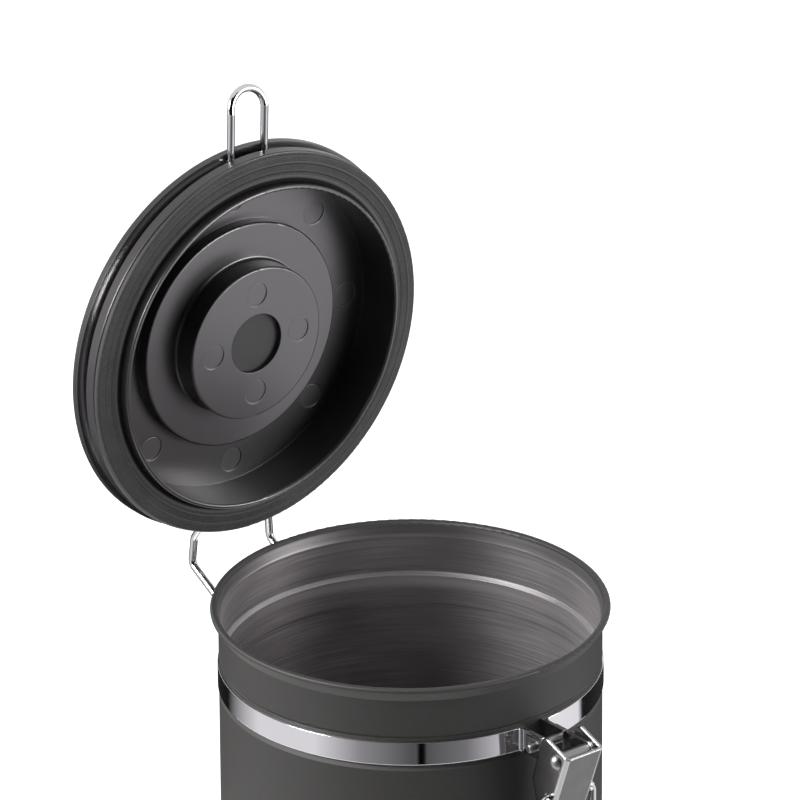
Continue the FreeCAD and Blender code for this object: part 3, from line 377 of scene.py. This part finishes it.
def brushed_steel(finish, look, turn, z, facing_z):
    """Colour, roughness and relief of steel that is brushed round the can, with painted
    reflection, highlight and shade in its colour.
    """
    along, across = 1.0 / look.brush_length, 1.0 / look.brush_width
    lines = finish.noise(finish.stretched(along, along, across), detail=3.0, roughness=0.6)
    fine_lines = finish.noise(finish.stretched(along * 3.0, along * 3.0, across * 2.3))
    patches = finish.noise(finish.stretched(along * 0.6, along * 0.6, across * 0.03))
    brushed = lines * 0.6 + fine_lines * 0.4
    steel = finish.blend(brushed.step(0.3, 0.7), shade(look.steel, 0.62), shade(look.steel, 1.30))

    # painted reflection: a fan of light and dark fixed round the can, standing in for what the
    # brushed lines reflect
    painted_fan = ((turn - look.painted_fan_angle) * 2.0).math("COSINE")
    narrow_painted_fan = ((turn - look.painted_fan_angle) * 9.0 + patches * 4.0).math("COSINE")
    dark = painted_fan.math("MAXIMUM", 0.0) * 0.66 + narrow_painted_fan * 0.12 + 0.1
    steel = finish.blend(dark, steel, shade(look.steel, 0.22))

    # painted highlight on the crest behind the band's groove, and painted shade on the flare and
    # on what faces up
    crest_drop, crest_width = 0.0008, 0.0034
    painted_crest_highlight = z.near(BAND_HIGH - crest_drop, crest_width)
    steel = finish.blend(painted_crest_highlight * 0.42, steel, shade(look.steel, 1.22))
    painted_flare_shade = z.step(RIM_HEIGHT - 0.0065, RIM_HEIGHT - 0.0030)
    upward = facing_z.step(0.05, 0.6) * 0.5
    steel = finish.blend(upward.math("MAXIMUM", painted_flare_shade * 0.8), steel, shade(look.steel, 0.16))

    uneven = (brushed - 0.5) * 0.28 + (patches - 0.5) * 0.12
    relief = brushed * 0.000006
    return steel, look.steel_roughness + uneven, relief


def base_finish(look):
    """Steel bottom with rings left by the press and a turned sheen."""
    finish = Finish("can_base_steel", Metallic=1.0)
    radius, height = finish.round_axis((0.0, 0.0, 0.0), (0.0, 0.0, 1.0))
    across_rings = finish.join(radius / look.brush_width, height * 900.0, 0.0)
    rings = finish.noise(across_rings, detail=3.0, roughness=0.6)
    scuffs = finish.noise(finish.stretched(160.0, 900.0, 200.0), detail=4.0, roughness=0.65)
    cloud = finish.noise(finish.place, scale=40.0)
    shine = rings * 0.7 + scuffs * 0.3
    steel = finish.blend(shine.step(0.3, 0.7), shade(look.steel, 0.84), shade(look.steel, 1.15))
    finish.set("Base Color", steel)
    finish.set("Roughness", look.steel_roughness + (shine - 0.5) * 0.25 + (cloud - 0.5) * 0.1)
    finish.set("Normal", finish.bump(rings, 0.000006))
    return finish


def band_finish(look):
    """Mirror polish with faint lines along the strap."""
    finish = Finish("band_polish", Metallic=1.0)
    lines = finish.noise(finish.stretched(35.0, 35.0, 5200.0), roughness=0.6)
    smear = finish.noise(finish.place, scale=55.0, detail=3.0, roughness=0.6)
    specks = finish.spots(finish.place, scale=900.0).step(0.10, 0.02)
    streaks = smear * 0.5 + lines * 0.5
    dull = smear.step(0.45, 0.8) * 0.05 + lines * 0.02 + specks * 0.08
    finish.set("Base Color", finish.blend(streaks, shade(look.band, 0.95), shade(look.band, 1.03)))
    finish.set("Roughness", look.band_roughness + dull)
    finish.set("Normal", finish.bump(lines, 0.0000012, finish.soft_edges(0.0003)))
    return finish


def latch_finish(name, look, tone=1.0, duller=0.0):
    """Pressed and tumbled steel with hairline scratches, shallow dents and rounded edges."""
    finish = Finish(name, Metallic=1.0)
    x, y, z = finish.split(finish.place)
    hairlines = finish.noise(finish.stretched(90.0, 2600.0, 420.0), detail=3.0, roughness=0.65)
    slanted = finish.join(y * 120.0 + z * 2100.0, z * 160.0 - x * 90.0, x * 400.0)
    cross_lines = finish.noise(slanted, detail=3.0, roughness=0.6)
    smear = finish.noise(finish.place, scale=130.0, detail=3.0, roughness=0.6)
    dents = finish.noise(finish.place, scale=260.0, detail=1.0)
    lines = hairlines * 0.5 + cross_lines * 0.5
    tint = shade(look.latch, tone)
    streaks = smear * 0.4 + lines * 0.6
    uneven = (lines - 0.5) * 0.16 + smear.step(0.5, 0.8) * 0.07
    relief = lines * 0.000002 + dents * 0.00001
    finish.set("Base Color", finish.blend(streaks, shade(tint, 0.82), shade(tint, 1.14)))
    finish.set("Roughness", look.latch_roughness + duller + uneven)
    finish.set("Normal", finish.bump(relief, normal=finish.soft_edges(look.edge)))
    return finish


def wire_finish(look):
    """Chromed wire with a faint grain and a few dull spots."""
    finish = Finish("wire_chrome", Metallic=1.0)
    smear = finish.noise(finish.place, scale=120.0, detail=3.0, roughness=0.6)
    grain = finish.noise(finish.place, scale=3200.0, roughness=0.6)
    specks = finish.spots(finish.place, scale=620.0).step(0.12, 0.03)
    finish.set("Base Color", finish.blend(smear, shade(look.wire, 0.93), shade(look.wire, 1.02)))
    finish.set("Roughness", look.wire_roughness + smear.step(0.5, 0.85) * 0.06 + specks * 0.10)
    finish.set("Normal", finish.bump(grain, 0.0000015))
    return finish


def plastic_finish(name, look, tint, grain_depth, edge=0.0002, marks=False):
    """Moulded plastic: spark-eroded grain, flow marks, a little dust and a glossier underside."""
    finish = Finish(
        name, IOR=1.52, Specular_IOR_Level=0.9, Specular_Tint=(1.0, 0.955, 1.0, 1.0),
        Coat_Roughness=0.30, Coat_IOR=1.68)
    grain = finish.noise(finish.place, scale=1.0 / look.plastic_grain, detail=3.0, roughness=0.7)
    pits = finish.spots(finish.place, scale=0.55 / look.plastic_grain).step(0.35, 0.0)
    flow = finish.noise(finish.place, scale=26.0, detail=3.0, roughness=0.6)
    dusty = finish.noise(finish.place, scale=60.0).step(0.5, 0.62)
    dust = finish.spots(finish.place, scale=260.0).step(0.055, 0.015) * dusty
    body = finish.blend(flow, shade(tint, 0.85), shade(tint, 1.18))
    body = finish.blend(grain.step(0.5, 0.8) * 0.25, body, shade(tint, 2.2))
    body = finish.blend(dust * 0.35, body, DUST)
    uneven = (flow - 0.5) * 0.08 + (grain - 0.5) * 0.16 + dust * 0.2
    relief = (grain * 0.7 + pits * 0.3) * grain_depth
    if marks:
        inside, painted_mark_highlight = ejector_marks(finish, look)
        body = finish.blend(inside * 0.75, body, shade(tint, 0.35))
        # painted highlight on the line round each mark; the same line also dips in the bump
        body = finish.blend(painted_mark_highlight * 0.5, body, shade(tint, 9.0))
        uneven = uneven + inside * 0.14
        relief = relief - painted_mark_highlight * 0.00005
    upward = Value(finish, finish.vector("DOT_PRODUCT", finish.facing, LID_AXIS).outputs["Value"])
    finish.set("Base Color", body)
    finish.set("Roughness", look.plastic_roughness + uneven)
    finish.set("Coat Weight", upward.step(-0.8, -0.97) * (0.78 + grain * 0.5))
    finish.set("Normal", finish.bump(relief, normal=finish.soft_edges(edge)))
    return finish


def ejector_marks(finish, look):
    """Round marks left by the mould's ejector pins: the discs, and the lines round them."""
    radius, _ = finish.round_axis(LID_CENTRE, LID_AXIS)
    x, _, z = finish.split(finish.vector("SUBTRACT", finish.place, LID_CENTRE).outputs["Vector"])
    turn = x.math("ARCTAN2", z)
    disc_edge, line_width = 0.0003, 0.00028
    discs, lines = 0.0, 0.0
    for ring, count, strength in ((look.boss_marks, 4, 0.5), (look.floor_marks, 8, 1.0)):
        slice_angle = 2.0 * math.pi / count
        off = (turn / slice_angle + 0.5).math("FRACT") - 0.5
        sideways = off * slice_angle * ring
        reach = ((radius - ring) * (radius - ring) + sideways * sideways).math("SQRT")
        discs = discs + reach.step(look.mark_radius, look.mark_radius - disc_edge) * strength
        lines = lines + reach.near(look.mark_radius, line_width)
    return discs, lines


def gasket_finish(look):
    """Moulded rubber with fine rings, two ribs, a dusty bloom and painted shadow along its inner
    edge.
    """
    finish = Finish("gasket_rubber", IOR=1.45)
    radius, height = finish.round_axis(LID_CENTRE, LID_AXIS)
    across_rings = finish.join(radius / look.rubber_ring, height / look.rubber_ring, 0.0)
    rings = finish.noise(across_rings, roughness=0.55)
    skin = finish.noise(finish.place, scale=1500.0, detail=3.0, roughness=0.7)
    bloom = finish.noise(finish.place, scale=70.0, detail=4.0, roughness=0.65)
    # painted shadow along the gasket's inner edge, where it meets the collar
    painted_gap_shadow = radius.step(look.gasket_inner + 0.0017, look.gasket_inner + 0.0010)
    rib_width = 0.0005
    ribs = 0.0
    for inset in (0.0036, 0.0062):
        ribs = ribs + radius.near(look.gasket_inner + inset, rib_width)
    ringed = rings.step(0.42, 0.7) * 0.75
    rubber = finish.blend(ringed, shade(look.rubber, 0.75), shade(look.rubber, 2.6))
    rubber = finish.blend(skin.step(0.5, 0.7) * 0.28, rubber, shade(look.rubber, 3.6))
    rubber = finish.blend(bloom.step(0.4, 0.75) * 0.35, rubber, shade(look.rubber, 2.1))
    rubber = finish.blend(ribs * 0.4, rubber, shade(look.rubber, 0.5))
    rubber = finish.blend(painted_gap_shadow * 0.92, rubber, SHADOW)
    finish.set("Base Color", rubber)
    finish.set("Roughness", 0.58 + (bloom - 0.5) * 0.16 + (rings - 0.5) * 0.2 + painted_gap_shadow * 0.4)
    finish.set("Normal", finish.bump(rings * 0.00012 + ribs * 0.00012 + skin * 0.00004))
    return finish


def filter_finish(look):
    """Fine woven cloth."""
    finish = Finish("filter_cloth", IOR=1.45)
    x, _, z = finish.split(finish.place)
    turn = 2.0 * math.pi / look.weave
    warp = (x * turn).math("SINE")
    weft = (z * turn).math("SINE")
    threads = (warp * weft) * 0.5 + 0.5
    fuzz = finish.noise(finish.place, scale=3800.0, detail=3.0, roughness=0.7)
    stain = finish.noise(finish.place, scale=160.0, detail=3.0)
    tint = look.filter_cloth
    cloth = finish.blend(threads * 0.6 + fuzz * 0.4, shade(tint, 0.78), shade(tint, 1.25))
    finish.set("Base Color", finish.blend(stain * 0.3, cloth, shade(tint, 0.7)))
    finish.set("Roughness", 0.72 + (fuzz - 0.5) * 0.2)
    finish.set("Normal", finish.bump(threads * 0.000030 + fuzz * 0.00002))
    return finish


def valve_rubber_finish(look):
    """Soft pale rubber with a fine talc bloom."""
    finish = Finish("valve_rubber", IOR=1.45)
    talc = finish.noise(finish.place, scale=500.0, detail=4.0, roughness=0.7)
    skin = finish.noise(finish.place, scale=3000.0)
    tint = look.valve_rubber
    finish.set("Base Color", finish.blend(talc, shade(tint, 0.8), shade(tint, 1.2)))
    finish.set("Roughness", 0.6 + (talc - 0.5) * 0.2)
    finish.set("Normal", finish.bump(skin, 0.00001))
    return finish


# Stage

def beside(look, angle, distance, height):
    """A place round the can; the angle runs from the camera's side to the picture's right."""
    turn = look.azimuth + math.radians(angle)
    return Vector((math.sin(turn) * distance, -math.cos(turn) * distance, height))


def circle(radius, count):
    turns = [2.0 * math.pi * step / count for step in range(count)]
    return [(radius * math.cos(turn), radius * math.sin(turn), 0.0) for turn in turns]


def stage_mesh(name, points, faces, finish):
    mesh = bpy.data.meshes.new(name)
    mesh.from_pydata(points, [], faces)
    mesh.materials.append(finish.material)
    item = bpy.data.objects.new(name, mesh)
    bpy.context.scene.collection.objects.link(item)
    return item


def hide_from(item, *rays):
    for ray in rays:
        setattr(item, "visible_" + ray, False)


def floor_disc(look):
    """Pale floor, lit and slightly glowing so that it runs out to white."""
    finish = Finish("floor_paper", Specular_IOR_Level=0.0, Roughness=0.9)
    fibre = finish.noise(finish.place, scale=30.0, detail=3.0)
    paper = finish.blend(fibre, shade(look.floor, 0.995), shade(look.floor, 1.005))
    finish.set("Base Color", paper)

    # the floor behind the dark flag is in its shadow, and glows white
    x, y, _ = finish.split(finish.place)
    reach = (x * x + y * y).math("SQRT").math("MAXIMUM", TINY)
    towards = beside(look, 0.0, 1.0, 0.0)
    ahead = (x * towards.x + y * towards.y) / reach
    edge = 0.01
    behind_flag = reach.step(FLAG_REACH - edge, FLAG_REACH + edge) * ahead.step(0.40, 0.60)
    white = 1.05
    glow = look.floor_glow / white
    finish.set("Emission Color", finish.blend(behind_flag, (glow, glow, glow), WHITE[:3]))
    finish.set("Emission Strength", white)

    rim = circle(FLOOR_RADIUS, 96)
    stage_mesh("floor", rim, [tuple(range(len(rim)))], finish)


def glow_finish(name, strength):
    """Card that only gives light."""
    finish = Finish(name, Specular_IOR_Level=0.0)
    finish.set("Base Color", BLACK)
    finish.set("Emission Strength", strength)
    return finish


def mirror_card(look):
    """Ring of light and dark card on the floor round the can, seen only in reflections."""
    # angles as in beside, with tones: dark behind, a white card on the left, a dark front with
    # a gap in it, a white card on the right
    tones = (
        (-180.0, 0.03), (-130.0, 0.01), (-95.0, 0.85), (-55.0, 0.85), (-28.0, 0.3),
        (0.0, 0.1), (3.5, 0.1), (4.0, 0.0), (7.0, 0.0), (7.5, 0.1), (30.0, 0.2),
        (70.0, 1.0), (110.0, 0.9), (114.0, 0.01), (180.0, 0.05),
    )
    tint = (0.985, 0.955, 1.0)
    stops = [(angle / 360.0 + 0.5, shade(tint, tone)) for angle, tone in tones]
    finish = glow_finish("mirror_card", look.cards)
    round_can = {"gradient_type": "RADIAL"}
    turn = finish.node("ShaderNodeTexGradient", round_can, {"Vector": finish.place})
    ramp = finish.node("ShaderNodeValToRGB", {"stops": stops}, {0: turn.outputs[1]})
    finish.set("Emission Color", ramp.outputs[0])

    count, inner, outer = 144, 0.20, 1.30
    faces = []
    for step in range(count):
        following = (step + 1) % count
        faces.append((step, following, count + following, count + step))
    ring = stage_mesh("mirror_card", circle(inner, count) + circle(outer, count), faces, finish)
    towards = beside(look, 0.0, 1.0, 0.0)
    right = beside(look, 90.0, 1.0, 0.0)
    ring.matrix_world = Matrix((
        (towards.x, right.x, 0.0, 0.0),
        (towards.y, right.y, 0.0, 0.0),
        (0.0, 0.0, 1.0, MIRROR_CARD_HEIGHT),
        (0.0, 0.0, 0.0, 1.0),
    ))
    hide_from(ring, "camera", "diffuse", "shadow", "transmission")


def lever_card(look):
    """Grey card on the floor, seen only in the lever's front."""
    finish = glow_finish("lever_card", look.lever_tone)
    finish.set("Emission Color", WHITE)
    left, right, front, back = 0.04, 0.19, -0.23, -0.09
    corners = ((left, front), (right, front), (right, back), (left, back))
    points = [(x, y, LEVER_CARD_HEIGHT) for x, y in corners]
    card = stage_mesh("lever_card", points, [(0, 1, 2, 3)], finish)
    hide_from(card, "camera", "diffuse", "shadow", "transmission")


def black_arc(look, name, half_angle, pitch, edges):
    """Black card along an arc before the can; each of its two edges is a distance and a height."""
    finish = Finish(name, Specular_IOR_Level=0.0, Roughness=1.0)
    finish.set("Base Color", VELVET)
    turns = range(-half_angle, half_angle + 1, pitch)
    points = [beside(look, turn, *edge) for turn in turns for edge in edges]
    faces = [(near, near + 1, near + 3, near + 2) for near in range(0, len(points) - 2, 2)]
    return stage_mesh(name, points, faces, finish)


def dark_flag(look):
    """Curved screen that keeps light off the front, as seen from the camera."""
    flag = black_arc(look, "dark_flag", 52, 4, ((FLAG_REACH, 0.01), (FLAG_REACH, 2.4)))
    hide_from(flag, "camera")


def floor_flag(look):
    """Card on the floor that keeps its bounce off the front, as seen from the camera."""
    near_edge, far_edge = (0.12, FLOOR_FLAG_HEIGHT), (1.0, FLOOR_FLAG_HEIGHT)
    card = black_arc(look, "floor_flag", 36, 6, (near_edge, far_edge))
    hide_from(card, "camera", "glossy", "shadow")


def soft_box(name, position, size, power):
    """Rectangular lamp that faces the can's rim."""
    data = bpy.data.lights.new(name, "AREA")
    data.shape = "RECTANGLE"
    data.size, data.size_y = size
    data.energy = power
    lamp = bpy.data.objects.new(name, data)
    bpy.context.scene.collection.objects.link(lamp)
    lamp.location = position
    lamp.rotation_mode = "QUATERNION"
    target = Vector((0.0, 0.0, 0.17))
    lamp.rotation_quaternion = (position - target).to_track_quat("Z", "Y")


def sky(look):
    world = bpy.data.worlds.new("studio")
    bpy.context.scene.world = world
    world.use_nodes = True
    background = world.node_tree.nodes["Background"]
    background.inputs["Color"].default_value = WHITE
    background.inputs["Strength"].default_value = look.sky


def camera(look):
    """Camera where the photograph was taken from."""
    back = beside(look, 0.0, math.cos(look.elevation), math.sin(look.elevation))
    right = beside(look, 90.0, 1.0, 0.0)
    up = back.cross(right)
    rim_middle = Vector((0.0, 0.0, RIM_HEIGHT - RIM_CURL))
    place = rim_middle + back * look.distance + right * look.across + up * look.upward
    across = right * math.cos(look.roll) + up * math.sin(look.roll)
    upright = up * math.cos(look.roll) - right * math.sin(look.roll)
    data = bpy.data.cameras.new("camera")
    data.sensor_fit = "HORIZONTAL"
    data.sensor_width = 36.0
    data.lens = look.focal_length
    data.clip_start, data.clip_end = 0.05, 60.0
    item = bpy.data.objects.new("camera", data)
    bpy.context.scene.collection.objects.link(item)
    item.matrix_world = Matrix((
        (across.x, upright.x, back.x, place.x),
        (across.y, upright.y, back.y, place.y),
        (across.z, upright.z, back.z, place.z),
        (0.0, 0.0, 0.0, 1.0),
    ))
    bpy.context.scene.camera = item


# Operators

class CANISTER_OT_can(bpy.types.Operator):
    """Paint the can outside and brush it inside"""

    bl_idname = "canister.can"
    bl_label = "Can and base"

    def execute(self, context):
        look = context.scene.canister.can
        can_finish(look).dress("can_shell")
        base_finish(look).dress("can_base")
        return {"FINISHED"}


class CANISTER_OT_band(bpy.types.Operator):
    """Polish the clamp band"""

    bl_idname = "canister.band"
    bl_label = "Clamp band"

    def execute(self, context):
        band_finish(context.scene.canister.bright).dress("clamp_band")
        return {"FINISHED"}


class CANISTER_OT_latch(bpy.types.Operator):
    """Finish the toggle latch's pressed parts and pins"""

    bl_idname = "canister.latch"
    bl_label = "Toggle latch"

    def execute(self, context):
        look = context.scene.canister.bright
        latch_finish("latch_steel", look).dress("latch_lever", "latch_yoke")
        pins = latch_finish("pin_steel", look, tone=0.75, duller=0.17)
        pins.dress("ear_pin", "lever_rivet", "lever_spacer")
        return {"FINISHED"}


class CANISTER_OT_hinge(bpy.types.Operator):
    """Finish the hinge plate and its rivets"""

    bl_idname = "canister.hinge"
    bl_label = "Hinge plate"

    def execute(self, context):
        look = context.scene.canister.bright
        latch_finish("hinge_steel", look, tone=1.4).dress("hinge_plate", "hinge_rivets")
        return {"FINISHED"}


class CANISTER_OT_wires(bpy.types.Operator):
    """Chrome the lid wire, the hinge link and the bail"""

    bl_idname = "canister.wires"
    bl_label = "Wires"

    def execute(self, context):
        chrome = wire_finish(context.scene.canister.bright)
        chrome.dress("lid_wire", "hinge_link", "latch_bail")
        return {"FINISHED"}


class CANISTER_OT_lid(bpy.types.Operator):
    """Give the lid its moulded plastic"""

    bl_idname = "canister.lid"
    bl_label = "Lid"

    def execute(self, context):
        look = context.scene.canister.lid
        body = plastic_finish(
            "lid_body_plastic", look, look.plastic, grain_depth=0.000026, edge=0.0004, marks=True)
        body.dress("lid_body")
        cover = plastic_finish("lid_cover_plastic", look, look.plastic, grain_depth=0.000022)
        cover.dress("lid_cover")
        return {"FINISHED"}


class CANISTER_OT_gasket(bpy.types.Operator):
    """Give the gasket its ringed rubber"""

    bl_idname = "canister.gasket"
    bl_label = "Gasket"

    def execute(self, context):
        gasket_finish(context.scene.canister.lid).dress("gasket")
        return {"FINISHED"}


class CANISTER_OT_valve(bpy.types.Operator):
    """Finish the filter cloth and the valve"""

    bl_idname = "canister.valve"
    bl_label = "Valve and filter"

    def execute(self, context):
        look = context.scene.canister.lid
        filter_finish(look).dress("filter_disc")
        cage = plastic_finish("valve_plastic", look, look.valve_plastic, grain_depth=0.00001)
        cage.dress("valve_seat", "valve_cap")
        valve_rubber_finish(look).dress("valve_disc")
        return {"FINISHED"}


class CANISTER_OT_stage(bpy.types.Operator):
    """Lay the floor, set the light and place the camera"""

    bl_idname = "canister.stage"
    bl_label = "Stage"

    def execute(self, context):
        look = context.scene.canister.stage
        context.scene.view_settings.view_transform = "Standard"
        floor_disc(look)
        mirror_card(look)
        lever_card(look)
        dark_flag(look)
        floor_flag(look)
        sky(look)
        key_place = beside(look, angle=-64.0, distance=1.1, height=0.75)
        fill_place = beside(look, angle=75.0, distance=1.1, height=0.3)
        soft_box("key", key_place, size=(0.5, 0.5), power=look.key_power)
        soft_box("fill", fill_place, size=(0.6, 0.4), power=look.fill_power)
        camera(look)
        return {"FINISHED"}


class CANISTER_PT_finishes(bpy.types.Panel):
    """Lists the pieces and their settings"""

    bl_idname = "CANISTER_PT_finishes"
    bl_label = "Coffee canister"
    bl_space_type = "VIEW_3D"
    bl_region_type = "UI"
    bl_category = "Canister"

    def draw(self, context):
        settings = context.scene.canister
        for operator in OPERATORS:
            self.layout.operator(operator.bl_idname)
        for look in (settings.can, settings.bright, settings.lid, settings.stage):
            box = self.layout.box()
            for name in look.__annotations__:
                box.prop(look, name)


OPERATORS = (
    CANISTER_OT_can,
    CANISTER_OT_band,
    CANISTER_OT_latch,
    CANISTER_OT_hinge,
    CANISTER_OT_wires,
    CANISTER_OT_lid,
    CANISTER_OT_gasket,
    CANISTER_OT_valve,
    CANISTER_OT_stage,
)
CLASSES = (
    CanLook,
    BrightLook,
    LidLook,
    StageLook,
    CanisterSettings,
    *OPERATORS,
    CANISTER_PT_finishes,
)


def register():
    for item in CLASSES:
        bpy.utils.register_class(item)
    bpy.types.Scene.canister = bpy.props.PointerProperty(type=CanisterSettings)


def unregister():
    del bpy.types.Scene.canister
    for item in reversed(CLASSES):
        bpy.utils.unregister_class(item)


def main():
    register()
    bpy.ops.canister.can()
    bpy.ops.canister.band()
    bpy.ops.canister.latch()
    bpy.ops.canister.hinge()
    bpy.ops.canister.wires()
    bpy.ops.canister.lid()
    bpy.ops.canister.gasket()
    bpy.ops.canister.valve()
    bpy.ops.canister.stage()


if __name__ == "__main__":
    main()
